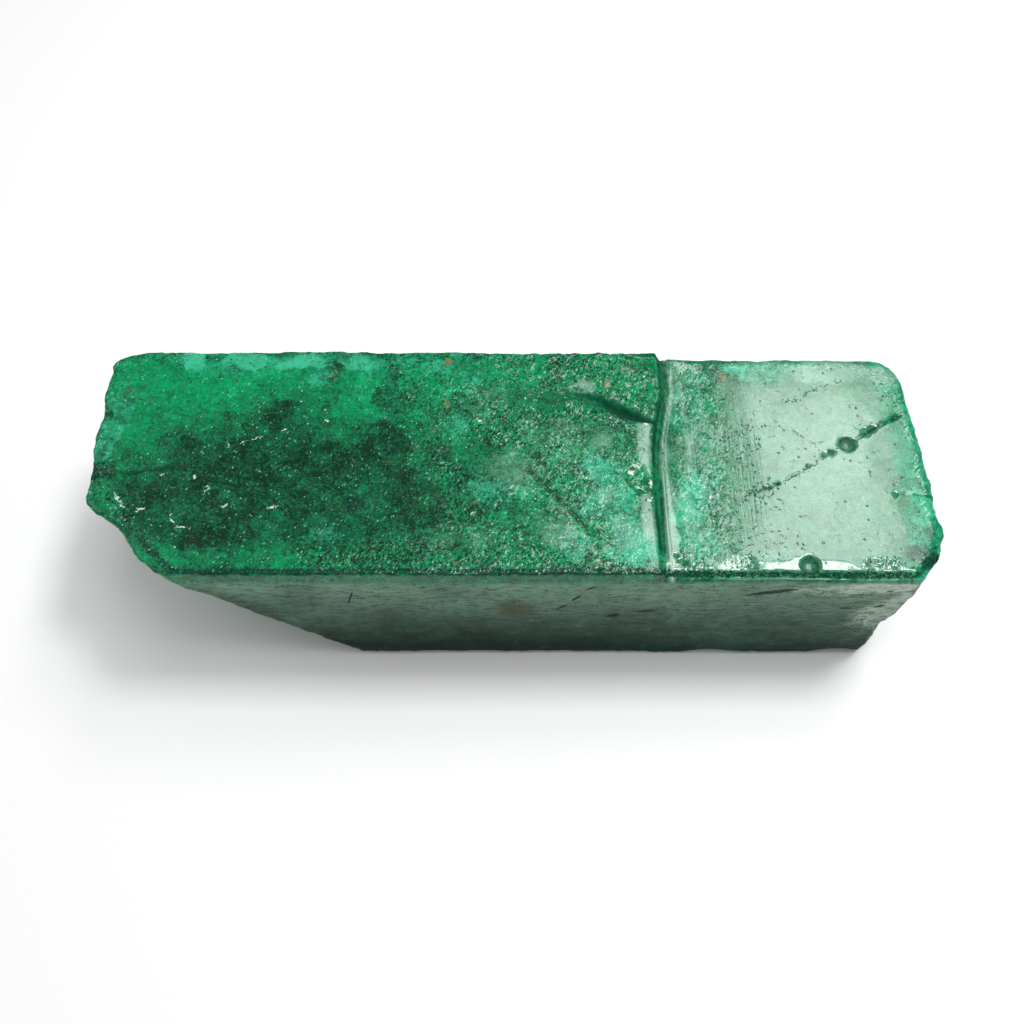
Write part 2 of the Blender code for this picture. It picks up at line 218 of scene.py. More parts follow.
def rim_form(x, y, flat, inside, right, middle, grain):
    """How the rim rolls off and ends in a narrow chamfer; the right part's front rim is the widest."""
    front = smooth(6.0, 9.0, -y)
    front_right = right * front
    roll_width = 0.7 + 0.25 * middle
    form = -0.1 * (1.0 - front_right) * np.clip(1.0 - inside / roll_width, 0.0, 1.0) ** 2
    mirror_width = np.interp(x, *zip(*MIRROR_RIM)) + 0.1 * middle + 0.12 * noise_at(flat, 2.2, 15.0)
    form -= RIM_SLOPE * front_right * np.clip(mirror_width - inside, 0.0, None)
    form -= BROW_SLOPE * front_right * np.clip(BROW_WIDTH - inside, 0.0, None)
    broken = smooth(32.4, 33.2, x) * (1.0 - smooth(35.8, 36.6, x)) + 0.5 * hump(x, 22.2, 0.6)
    form += 0.02 * front_right * broken * (1.0 - smooth(2.2, 2.6, inside)) * noise_at(flat, 2.4, 17.0)
    chamfer_width = 0.25 + 0.15 * front - 0.1 * front_right + 0.06 * grain
    return form - 0.8 * np.clip(chamfer_width - inside, 0.0, None)


def fissure_form(x, y, s, right):
    """A sloping left lip, a dark channel, and a thin rim on its right that slopes away."""
    lip = np.clip((s + 1.65) / 1.15, 0.0, 1.0) * left_part(s) * smooth(-4.4, -3.8, -y)
    channel_half = 0.42 - 0.14 * smooth(4.0, 8.0, y)
    channel = np.exp(-(np.abs(s - channel_half / 3.0) / channel_half) ** 3)
    channel_depth = 0.08 + 0.5 * (1.0 - smooth(9.8, 11.4, -y))
    rim_width = 0.45 + 0.55 * smooth(0.0, 10.5, -y)
    rim = smooth(0.2, 0.6, s) * np.clip(1.0 - (s - 0.64) / rim_width, 0.0, 1.0)
    form = -0.12 * lip - channel_depth * channel + 0.11 * rim_width * rim
    # Beside the fissure, the left part's rear corner has fallen away and the right part's rises a little.
    form -= 0.5 * left_part(s) * smooth(11.0, 14.8, x) * smooth(10.6, 12.8, y)
    return form + 0.3 * right * smooth(0.5, 0.8, s) * (1.0 - smooth(1.0, 4.5, s)) * smooth(9.5, 12.0, y)


def ledge_form(x, y, flat, s):
    """A crevice at the ledge's foot, and a rougher, lower corner behind it."""
    behind, half_width, depth = ledge_at(x, y)
    crevice = hump(behind, half_width, half_width) * left_part(s)
    corner = smooth(0.0, 0.8, behind) * smooth(-5.0, 3.0, x) * left_part(s)
    rubble = noise_at(flat, 1.0, 31.0) + 0.6 * noise_at(flat, 2.0, 33.0)
    return -depth * crevice - corner * (0.3 - 0.13 * rubble)


def gouge_form(x, y, flat, s):
    """The shallow gouge left of the fissure."""
    across = (x - GOUGE_MIDDLE[0]) / GOUGE_HALF_WIDTH
    along = (y - GOUGE_MIDDLE[1]) / GOUGE_HALF_LENGTH
    r = np.hypot(across, along) + 0.45 * noise_at(flat, 0.8, 51.0)
    return -(1.0 - smooth(0.45, 1.05, r)) * left_part(s) * (GOUGE_DEPTH + 0.14 * noise_at(flat, 1.8, 53.0))


def top_height(x, y, flat, inside):
    """The top face's height at each place."""
    s = from_fissure(x, y)
    right = smooth(-0.45, 0.45, s)
    height = LEFT_LEVEL + (RIGHT_LEVEL - LEFT_LEVEL) * right
    # Broad, gentle waves; the right part is the smoother one.
    broad = noise_at(flat, 0.13, 3.0)
    middle = noise_at(flat, 0.42, 7.0)
    grain = noise_at(flat, 1.4, 11.0, stretch=(1.0, 1.7, 1.0), turn=math.radians(-35))
    height += broad * (0.1 - 0.06 * right) + middle * (0.05 - 0.04 * right)
    height += grain * (0.01 + 0.03 * grain_share(x, y, flat) - 0.008 * right)
    height += rim_form(x, y, flat, inside, right, middle, grain)
    height += fissure_form(x, y, s, right)
    height += ledge_form(x, y, flat, s)
    for r, depth in pits_at(x, y):
        height -= depth * (1.0 - smooth(0.45, 1.12, r))
    for line, depth in cracks_at(x, y, flat):
        height -= depth * line
    return height + gouge_form(x, y, flat, s)


def valley_share(x, y):
    """How much each place of the top face lies in the fissure's channel or the ledge's crevice."""
    s = from_fissure(x, y)
    far = 0.16 * smooth(4.0, 8.0, y)
    channel = smooth(-0.4 + far, -0.18 + far, s) * (1.0 - smooth(0.36 - far, 0.54 - far, s))
    channel *= 1.0 - smooth(10.0, 11.2, -y)
    behind, half_width, depth = ledge_at(x, y)
    crevice = hump(behind, half_width, 1.3 * half_width) * left_part(s)
    return np.maximum(channel, crevice * np.clip(depth * 1.6, 0.0, 1.0))


def cavity_share(x, y, flat):
    """How much painted shade darkens each place of the top face in a pit, a crack or a valley."""
    cavity = np.zeros(x.shape)
    for r, depth in pits_at(x, y):
        floor = 0.35 * min(1.0, depth / 0.5) * (1.0 - smooth(0.75, 1.05, r))
        cavity = np.maximum(cavity, floor + 0.4 * hump(r, 0.92, 0.15))
    for line, depth in cracks_at(x, y, flat, widening=1.2):
        cavity = np.maximum(cavity, 0.8 * line)
    s = from_fissure(x, y)
    # Painted shade on the fissure's left wall, and a painted shadow at the ledge's foot.
    shaded_wall = 0.65 * hump(s, -0.1, 0.22) * (1.0 - hump(y, -3.2, 2.2)) * (1.0 - smooth(9.6, 11.0, -y))
    behind, half_width, depth = ledge_at(x, y)
    under_ledge = 0.9 * hump(behind, 0.6 * half_width, 1.4 * half_width) * smooth(7.5, 11.0, x) * left_part(s)
    return np.clip(np.maximum(cavity, np.maximum(shaded_wall, under_ledge)), 0.0, 1.0)


# ---- the fine surface

# The faces of the even mesh, in millimetres, and how often it is smoothed.
VOXEL = 0.2
ROUNDING_STEPS = 8
# The side faces are thinned out until the crystal has about this many triangles.
MOST_TRIANGLES = 190000
# Under this height a place belongs to the side faces.
TOP_FOOT = 16.9
# The height at which the distance from the side walls is measured, and the longest that counts.
WALL_LEVEL = 17.6
WALL_REACH = 2.6
# Drops the height of a place.
LEVEL = np.array((1.0, 1.0, 0.0))
# A thin slab that fills the solid's coarse carving, so that the fine carving can be made afresh.
FILL_OUTLINE = (
    (-39.0, 10.4), (-37.4, 11.8), (14.8, 12.0), (15.1, 11.3), (37.5, 11.1), (39.1, 9.6), (39.6, -8.5),
    (37.8, -11.5), (16.2, -11.9), (15.8, -12.5), (13.4, -12.5), (13.0, -11.9), (-31.4, -11.8),
    (-38.8, -4.5),
)
FILL_LOW = 17.0
FILL_HIGH = 18.85


def to_part(point):
    """A place in the drawing, in millimetres, as a place in the part's frame, in metres."""
    return Vector(np.array(point) - DRAWING) * MM


def add_object(name, data):
    """A new object in the scene."""
    obj = bpy.data.objects.new(name, data)
    bpy.context.scene.collection.objects.link(obj)
    return obj


def filled_solid():
    """The solid with its carved top face filled level, as one mesh of two closed bodies."""
    bm = bmesh.new()
    bm.from_mesh(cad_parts[NODE].data)
    low = [bm.verts.new(to_part((x, y, FILL_LOW))) for x, y in FILL_OUTLINE]
    face = bm.faces.new(low)
    made = bmesh.ops.extrude_face_region(bm, geom=[face])
    raised = [v for v in made["geom"] if isinstance(v, bmesh.types.BMVert)]
    bmesh.ops.translate(bm, vec=(0.0, 0.0, (FILL_HIGH - FILL_LOW) * MM), verts=raised)
    bmesh.ops.recalc_face_normals(bm, faces=bm.faces)
    mesh = bpy.data.meshes.new("emerald_start")
    bm.to_mesh(mesh)
    bm.free()
    return mesh


def apply_modifiers(obj):
    """Turns what the modifiers make into the object's own mesh."""
    graph = bpy.context.evaluated_depsgraph_get()
    mesh = bpy.data.meshes.new_from_object(obj.evaluated_get(graph))
    obj.modifiers.clear()
    obj.data = mesh


def read_vectors(items, name):
    """A property of all vertices as an array with three columns."""
    flat = np.empty(len(items) * 3, dtype=np.float32)
    items.foreach_get(name, flat)
    return flat.reshape(-1, 3).astype(float)


def read_points(mesh):
    """The vertices as places in the drawing, in millimetres."""
    return read_vectors(mesh.vertices, "co") / MM + DRAWING


def write_points(mesh, points):
    """Moves the vertices to places in the drawing, kept inside the solid's box."""
    low, high = (np.array(corner) / MM + DRAWING for corner in size_at_load)
    flat = ((np.clip(points, low, high) - DRAWING) * MM).astype(np.float32).ravel()
    mesh.vertices.foreach_set("co", flat)
    mesh.update()


def read_normals(mesh):
    """The directions in which the vertices face."""
    return read_vectors(mesh.vertex_normals, "vector")


def inside_distance(mesh, points):
    """How far inside the side walls each place of the top face is, measured a little below it."""
    # Heights count eightfold, so that the nearest surface is a side wall and not the top.
    tall = Vector((1.0, 1.0, 8.0))
    tree = BVHTree.FromPolygons([v.co * tall for v in mesh.vertices], [p.vertices[:] for p in mesh.polygons])
    found = np.zeros(len(points))
    for i, (x, y, z) in enumerate(points):
        if z < WALL_LEVEL:
            continue
        at = to_part((x, y, WALL_LEVEL)) * tall
        near, normal, index, distance = tree.find_nearest(at)
        if (at - near).dot(normal) < 0.0:
            found[i] = min(distance / MM, WALL_REACH)
    return found


def shares_of(normals):
    """How much each vertex belongs to the top, the front, the rear, and to no natural face."""
    top = smooth(0.8, 0.96, normals[:, 2])
    foot = smooth(0.8, 0.96, -normals[:, 2])
    front = smooth(0.86, 0.97, -normals[:, 1])
    rear = smooth(0.86, 0.97, normals[:, 1])
    broken = np.clip(1.0 - top - foot - front - rear, 0.0, 1.0)
    return {"top": top, "front": front, "rear": rear, "broken": broken}


def side_relief(points, share):
    """Relief along the normal of every face but the top, in millimetres."""
    hackly = ridged_at(points, 0.34, 3.0)
    lumps = noise_at(points, 1.1, 5.0)
    small = noise_at(points, 2.4, 6.0)
    broken = share["broken"] * (0.1 * hackly + 0.09 * lumps + 0.05 * small)
    lines = noise_at(points, 1.3, 9.0, stretch=(14.0, 1.0, 1.0))
    fine_lines = noise_at(points, 2.6, 10.0, stretch=(10.0, 1.0, 1.0))
    mottle = noise_at(points, 0.7, 12.0)
    front = share["front"] * (0.03 * lines + 0.015 * fine_lines + 0.03 * mottle)
    rear = share["rear"] * (0.055 * lines + 0.03 * fine_lines + 0.04 * mottle)
    return broken + front + rear


def rim_bites(points, inside):
    """Small bites out of the top face's rim, in millimetres along the normal."""
    rim = (1.0 - smooth(0.15, 0.9, inside)) * smooth(17.7, 18.3, points[:, 2])
    ragged = np.maximum(0.0, noise_at(points, 0.55, 61.0) - 0.1) * 0.28
    fine = np.maximum(0.0, noise_at(points, 1.9, 63.0)) * 0.14
    along = points[:, 0]
    calm = 1.0 - 0.65 * smooth(14.0, 17.0, along) - 0.55 * (1.0 - smooth(-34.0, -30.0, along))
    calm -= 0.2 * smooth(34.0, 38.0, along)
    rear = smooth(0.0, 6.0, points[:, 1])
    return -rim * calm * (ragged * (0.5 + 0.5 * rear) + fine)


def carve(obj):
    """Gives the even mesh its fine relief."""
    mesh = obj.data
    points = read_points(mesh)
    normals = read_normals(mesh)
    inside = inside_distance(mesh, points)
    relief = side_relief(points, shares_of(normals)) + rim_bites(points, inside)
    moved = points + normals * relief[:, None]
    upper = inside > 0.0
    top = points[upper] * LEVEL
    height = points[:, 2].copy()
    height[upper] = top_height(top[:, 0], top[:, 1], top, inside[upper])
    within = smooth(0.05, 0.3, inside)
    moved[:, 2] = moved[:, 2] * (1.0 - within) + height * within
    write_points(mesh, moved)


def thin_out(obj):
    """Lowers the number of triangles on the side faces and the underside."""
    triangles = sum(len(face.vertices) - 2 for face in obj.data.polygons)
    below = obj.vertex_groups.new(name="below_the_top")
    height = read_points(obj.data)[:, 2]
    below.add(np.flatnonzero(height < TOP_FOOT).tolist(), 1.0, "REPLACE")
    thin = obj.modifiers.new("fewer_triangles", "DECIMATE")
    thin.ratio = MOST_TRIANGLES / triangles
    thin.vertex_group = below.name
    thin.use_collapse_triangulate = True
    apply_modifiers(obj)
    obj.vertex_groups.clear()


# ---- the stone's colours, and the light and shade painted on it

# Regions of the top face.
# DARK_REGIONS are the stone's darker places; the one at X 39.2, Y -10.8 is painted shade on the right front
# corner, which tilts away from the light.
DARK_REGIONS = (
    (-24.6, -2.7, 9.0, 7.2, 0.96), (-27.4, -7.8, 6.6, 3.2, 0.88), (-17.5, -3.0, 7.0, 7.0, 0.9),
    (-12.3, 1.6, 3.4, 2.8, 1.0), (-23.0, 4.6, 3.6, 2.4, 0.9), (-38.1, -2.1, 2.8, 1.0, 0.8),
    (-9.8, -5.0, 4.6, 5.6, 0.8), (-33.0, -4.4, 5.0, 4.0, 0.8), (-11.8, 8.6, 0.7, 3.8, 0.75),
    (-17.6, 10.3, 0.9, 1.7, 0.9), (-6.4, -1.8, 4.0, 4.4, 0.45), (-31.0, 0.8, 3.2, 2.0, 0.75),
    (-7.1, -9.0, 5.0, 2.8, 0.45), (5.0, 11.0, 1.5, 1.5, 0.5), (22.6, 10.3, 2.6, 1.3, 0.45),
    (-12.0, -9.4, 4.0, 2.2, 0.5), (6.2, -6.0, 2.4, 0.9, 0.4), (-17.0, -9.6, 2.4, 1.6, 0.4),
    (39.2, -10.8, 1.3, 1.3, 0.9), (-15.4, -10.6, 2.0, 1.3, 0.75),
)
# BRIGHT_REGIONS are brighter stone; those near the rear edge and the left end also paint the glow of light
# passing through the stone.
BRIGHT_REGIONS = (
    (-32.0, 8.2, 7.6, 4.0, 1.0), (-36.4, 9.4, 4.4, 3.0, 0.9), (-24.0, 9.8, 6.4, 2.4, 0.8),
    (-14.2, 7.4, 2.6, 3.8, 1.0), (-36.8, 3.1, 3.6, 2.8, 0.55), (-7.2, 9.6, 3.4, 2.6, 0.75),
    (1.4, 10.6, 4.0, 1.7, 0.65), (-16.4, 3.2, 1.3, 2.4, 0.75), (-14.8, -10.6, 2.6, 1.1, 0.12),
    (-30.4, -10.9, 4.2, 1.5, 0.5), (11.6, 9.5, 3.0, 2.2, 0.4), (7.2, -8.4, 1.8, 1.3, 0.6),
    (11.0, -2.2, 1.0, 2.0, 0.6), (-18.9, -11.0, 2.2, 1.0, 0.3), (-20.5, 5.3, 1.4, 1.2, 0.5),
)
TEAL_REGIONS = (
    (-14.0, 8.4, 1.8, 2.0, 0.25), (-32.1, 11.7, 1.8, 1.2, 1.0), (-26.9, 11.6, 2.8, 1.0, 0.75),
    (-21.2, 11.2, 3.0, 1.4, 1.0), (-15.6, 11.2, 2.2, 1.4, 0.7), (-39.2, 4.8, 2.4, 3.6, 0.45),
    (-39.6, 0.8, 1.6, 2.2, 0.4), (-17.1, -8.7, 1.3, 1.7, 0.4), (-5.1, 3.1, 1.7, 1.6, 0.5),
    (-1.5, -3.8, 2.1, 1.6, 0.4), (1.5, -3.8, 1.6, 1.3, 0.5), (9.2, -1.4, 2.0, 2.6, 0.62),
    (-6.5, 11.0, 2.6, 1.0, 0.5), (-22.0, 11.4, 16.0, 2.2, 0.36), (9.8, -5.4, 2.8, 2.9, 0.6),
    (12.0, -9.0, 2.8, 3.1, 0.8), (8.0, -4.0, 8.0, 7.0, 0.16), (6.8, -10.0, 2.8, 1.7, 0.5),
    (-3.7, 9.2, 2.1, 2.1, 0.35), (17.5, -4.6, 2.3, 3.4, 0.8), (24.3, 11.0, 1.4, 0.9, 0.9),
    (40.2, -1.2, 1.3, 3.4, 0.5), (39.6, -5.0, 1.2, 3.0, 0.6), (17.6, -9.2, 2.4, 2.4, 0.55),
    (19.7, 9.4, 2.2, 1.6, 0.4), (28.0, 10.9, 6.0, 1.6, 0.55), (18.6, 6.0, 3.0, 5.0, 0.35),
    (19.4, -1.0, 2.4, 6.0, 0.35), (24.5, -10.6, 3.0, 1.0, 0.4), (38.8, 6.6, 0.8, 3.0, 0.4),
    (39.8, -2.2, 1.1, 1.6, 0.2),
)
# PALE_REGIONS are paler stone; those along the fissure's left lip are a painted sheen, and those at the right
# part's rear strengthen the painted reflection of the window.
PALE_REGIONS = (
    (9.2, 1.9, 1.2, 1.2, 0.5), (9.4, -4.3, 1.3, 1.1, 0.45), (13.4, -7.4, 0.8, 2.4, 0.75),
    (8.1, 8.7, 0.8, 0.9, 0.7), (5.1, -5.4, 2.0, 1.5, 0.3), (13.4, 2.9, 0.7, 1.9, 1.15),
    (17.8, 1.1, 0.6, 3.1, 0.6), (20.2, 1.1, 0.5, 1.8, 0.4), (17.3, -7.3, 0.7, 2.8, 0.4),
    (38.6, 10.2, 2.2, 1.4, 0.6), (12.4, 10.9, 1.4, 0.8, 0.4), (33.0, 10.6, 5.0, 1.8, 0.8),
    (0.5, -1.5, 3.2, 2.8, 0.4), (5.0, -8.6, 2.4, 1.8, 0.45), (5.5, 1.0, 6.5, 4.5, 0.24),
    (6.5, -8.0, 6.5, 3.6, 0.22), (-2.0, 6.0, 4.0, 3.0, 0.22), (-4.0, -9.0, 5.0, 2.6, 0.22),
    (11.0, -8.6, 2.0, 2.0, 0.45), (5.6, 3.4, 2.6, 1.8, 0.3), (13.5, 1.2, 0.7, 2.8, 0.95),
)
BROWN_REGIONS = (
    (-6.0, 11.6, 0.5, 0.6, 0.9), (10.2, 8.9, 0.5, 0.6, 1.0), (-5.9, 6.4, 0.5, 0.9, 0.5),
    (22.2, 10.0, 0.35, 0.4, 0.9), (-4.9, -11.6, 0.8, 0.4, 0.5), (8.6, -11.5, 0.6, 0.4, 0.5),
    (-38.2, 8.0, 0.5, 0.5, 0.6), (-17.6, 9.9, 0.7, 0.9, 0.35), (-30.5, -10.6, 0.9, 0.6, 0.35),
)
FRONT_FACE_Y = -13.0
# Regions of the front face, with Z instead of Y.
FRONT_BROWN = ((0.9, 12.0, 2.1, 2.6, 1.0),)
FRONT_DARK = ((-9.0, 9.5, 5.0, 4.5, 0.7), (-24.0, 12.0, 8.0, 6.0, 0.75), (2.0, 9.0, 3.0, 3.5, 0.3))
FRONT_PALE = (
    (34.8, 16.8, 5.0, 1.3, 1.0), (36.4, 10.5, 2.6, 4.0, 0.6), (30.0, 16.2, 4.0, 1.4, 0.4),
    (37.6, 13.0, 1.6, 4.0, 0.6),
)


def cell_points(flat, size, seed):
    """The seed point of the irregular cell that each place lies in, and a random number for that cell."""
    cell = np.floor(flat[:, :2] / size).astype(int)
    best = np.full(len(flat), 1e9)
    found = np.zeros((len(flat), 2))
    tag = np.zeros(len(flat))
    for dx in (-1, 0, 1):
        for dy in (-1, 0, 1):
            near = cell + (dx, dy)
            h = np.sin(near[:, 0] * 127.1 + near[:, 1] * 311.7 + seed) * 43758.5453
            k = np.sin(near[:, 0] * 269.5 + near[:, 1] * 183.3 + seed) * 43758.5453
            place = (near + np.stack((h % 1.0, k % 1.0), axis=1)) * size
            d = np.hypot(*(place - flat[:, :2]).T)
            closer = d < best
            best[closer] = d[closer]
            found[closer] = place[closer]
            tag[closer] = ((h + k) % 1.0)[closer]
    return found, tag


def region_share(a, b, regions):
    """The strongest of some soft-edged elliptical regions at each place."""
    share = np.zeros(len(a))
    for x, y, half_width, half_height, strength in regions:
        r = np.hypot((a - x) / half_width, (b - y) / half_height)
        share = np.maximum(share, strength * (1.0 - smooth(0.35, 1.45, r)))
    return share


def displacement(flat, scale, seed):
    """A smooth, random displacement in X and Y."""
    return np.stack((noise_at(flat, scale, seed), noise_at(flat, scale, seed + 2.0)), axis=1)


def loose_places(flat, wave, ripple, right):
    """Displaced places, which give the regions lobed and angular edges, and a random number for each cell."""
    cells, tag = cell_points(flat + np.pad(0.5 * ripple, ((0, 0), (0, 1))), 1.7, 4.0)
    cell_weight = (0.55 * (1.0 - right))[:, None]
    lobed = flat[:, :2] + 1.3 * wave + 0.45 * ripple
    return lobed * (1.0 - cell_weight) + (cells + 1.3 * wave) * cell_weight, tag


def still_places(flat, wave, ripple):
    """Slightly displaced places, for regions that keep their form."""
    return flat[:, :2] + 0.35 * wave + 0.25 * ripple


def top_body(x, y, flat, right, wave, ripple, loose, tag):
    """The top face's tone, from dark to bright, and its shares of teal, pale and brown stone; the pale share
    also holds a painted reflection and a painted highlight.
    """
    dark = region_share(*loose.T, DARK_REGIONS)
    bright = region_share(*loose.T, BRIGHT_REGIONS)
    tone = 0.5 + 0.3 * bright - 0.38 * dark + (tag - 0.5) * 0.14
    teal = region_share(*loose.T, TEAL_REGIONS)
    teal = np.maximum(teal, 0.42 * smooth(36.6, 38.2, x) * (1.0 - 0.5 * dark))
    pale = region_share(*still_places(flat, wave, ripple).T, PALE_REGIONS)
    brown = region_share(*(flat[:, :2] + 0.4 * ripple).T, BROWN_REGIONS)

    # The right part is paler as far as the clearer band at its end, partly milky stone and partly a painted
    # reflection of the window, and streaked beside the fissure.
    strip = 1.0 - smooth(20.6, 22.4, x + 0.8 * wave[:, 0])
    streaks = noise_at(flat, 1.5, 99.0, stretch=(1.0, 4.0, 1.0))
    clouds = noise_at(flat, 0.25, 89.0, stretch=(1.0, 3.0, 1.0))
    milky_and_reflection = right * (0.4 - 0.12 * strip + 0.25 * clouds + 0.45 * strip * streaks)
    milky_and_reflection *= (1.0 - smooth(37.2, 38.4, x + 0.5 * wave[:, 0])) * (1.0 - 0.8 * dark)
    pale = np.clip(np.maximum(pale, milky_and_reflection), 0.0, 0.8)

    # The fissure's right lip carries a painted highlight: a bright line that fades towards the rear.
    line_middle = 0.76 - 0.08 * smooth(5.0, 9.0, y)
    line_half_width = 0.15 + 0.2 * smooth(5.0, 9.0, -y)
    painted_lip_highlight = hump(from_fissure(x, y), line_middle, line_half_width)
    painted_lip_highlight *= 1.0 - 0.85 * smooth(6.0, 8.5, y)
    return tone, teal, np.maximum(pale, painted_lip_highlight), brown


def side_body(points, share):
    """The same four values for the other faces."""
    x, y, z = points.T
    wave = 0.6 * noise_at(points, 0.6, 91.0)
    dark, brown, pale = (
        share["front"] * region_share(x + wave, z + wave, regions)
        for regions in (FRONT_DARK, FRONT_BROWN, FRONT_PALE)
    )
    tone = 0.42 + 0.35 * noise_at(points, 0.16, 93.0) - 0.35 * dark
    teal = np.clip(0.3 + 0.8 * noise_at(points, 0.11, 95.0), 0.0, 0.6)
    return tone, teal, pale, brown


def fine_pits(x, y, loose):
    """How much each place lies in a pitted area or on a line of tiny pits."""
    pitted = region_share(*loose.T, PITTED_REGIONS)
    for path, half_width in PIT_LINES:
        pitted = np.maximum(pitted, np.exp(-((path_distance(x, y, path) / half_width) ** 4)))
    return pitted


def front_shade_line(x, y, flat, inside):
    """The painted shade of the dark line just inside the front edge."""
    from_wall = inside + 0.12 * noise_at(flat, 1.3, 97.0) + 0.08 * noise_at(flat, 2.9, 98.0)
    line = smooth(8.0, 10.0, -y) * smooth(0.22, 0.38, from_wall) * (1.0 - smooth(0.75, 1.0, from_wall))
    return 0.85 * line * (1.0 - 0.4 * smooth(36.0, 38.5, x))


def rim_grain(x, y, inside, right, wave):
    """How granular the rim is: little where the right part's front rim mirrors, much where that is broken."""
    grain = 0.7 * smooth(0.0, 0.3, inside) * (1.0 - smooth(0.7, 1.6, inside + 0.5 * wave[:, 1]))
    mirroring = 0.85 * (1.0 - smooth(33.0, 38.0, x)) * smooth(6.0, 9.0, -y)
    grain *= 1.0 - right * np.maximum(0.65, mirroring)
    broken = smooth(32.6, 33.4, x) * (1.0 - smooth(36.0, 37.0, x)) + 0.8 * hump(x, 22.0, 0.8)
    broken *= smooth(8.0, 9.0, -y) * smooth(0.9, 1.2, inside)
    broken *= 1.0 - smooth(2.0, 2.6, inside + 0.4 * wave[:, 0])
    return np.maximum(grain, broken)


def dull_share(x, y, inside, right, upper):
    """How much each place lies in a round pit or on the right part's steep front brow."""
    dull = right * smooth(8.0, 10.0, -y) * (inside > 0.0) * (1.0 - smooth(0.75, 0.95, inside))
    for r, depth in pits_at(x, y):
        dull = np.maximum(dull, upper * (1.0 - smooth(0.85, 1.05, r)))
    return dull


def paint(obj):
    """Stores, at each vertex, what the material reads: the stone's body, with its painted reflection and
    highlight, and the state of its skin, with its painted shade.
    """
    mesh = obj.data
    points = read_points(mesh)
    share = shares_of(read_normals(mesh))
    inside = inside_distance(mesh, points)
    x, y, z = points.T
    flat = points * LEVEL
    right = smooth(-0.3, 0.5, from_fissure(x, y))
    upper = smooth(17.3, 17.9, z)
    wave = displacement(flat, 0.33, 81.0)
    ripple = displacement(flat, 1.1, 85.0)
    loose, tag = loose_places(flat, wave, ripple, right)

    top = top_body(x, y, flat, right, wave, ripple, loose, tag)
    side = side_body(points, share)
    body = [above * upper + below * (1.0 - upper) for above, below in zip(top, side)]
    store(mesh, "body", np.stack(body, axis=1))

    # Painted shade: in pits, cracks and valleys here, and along the front edge among the marks below.
    cavity = np.zeros(len(points))
    on_top = upper > 0.0
    cavity[on_top] = cavity_share(x[on_top], y[on_top], flat[on_top]) * upper[on_top]
    grain = np.maximum(grain_share(x, y, flat), rim_grain(x, y, inside, right, wave)) * share["top"]
    matt = region_share(*still_places(flat, wave, ripple).T, MATT_REGIONS)
    glossy = right * share["top"] * (1.0 - 0.6 * matt)
    frost = np.clip(share["front"] + 0.8 * share["rear"] + 0.5 * share["broken"], 0.0, 1.0) * (1.0 - upper)
    store(mesh, "skin", np.stack((cavity, grain, glossy, frost), axis=1))

    pitted = fine_pits(x, y, loose) * upper
    scratched = region_share(x, y, SCRATCHED_REGIONS) * upper
    behind_wall = np.maximum(smooth(0.3, 0.6, inside), smooth(0.0, 2.0, y) * smooth(17.3, 17.8, z))
    valley = valley_share(x, y) * behind_wall
    store(mesh, "marks", np.stack((pitted, scratched, valley, front_shade_line(x, y, flat, inside)), axis=1))
    set_dull_faces(mesh, np.maximum(np.maximum(frost, valley), dull_share(x, y, inside, right, upper)))


# From this share on, a corner counts as dull.
DULL_FROM = 0.35


def set_dull_faces(mesh, dull):
    """Gives the second, hardly mirroring material to the faces whose corners are all dull."""
    corners = np.empty(len(mesh.loops), dtype=np.int32)
    mesh.loops.foreach_get("vertex_index", corners)
    starts = np.empty(len(mesh.polygons), dtype=np.int32)
    mesh.polygons.foreach_get("loop_start", starts)
    least = np.minimum.reduceat(dull[corners], starts)
    mesh.polygons.foreach_set("material_index", (least > DULL_FROM).astype(np.int32))
def store(mesh, name, values):
    """Stores four values from 0 to 1 at each vertex."""
    layer = mesh.attributes.new(name, "FLOAT_COLOR", "POINT")
    layer.data.foreach_set("color", np.clip(values, 0.0, 1.0).astype(np.float32).ravel())


# ---- the material

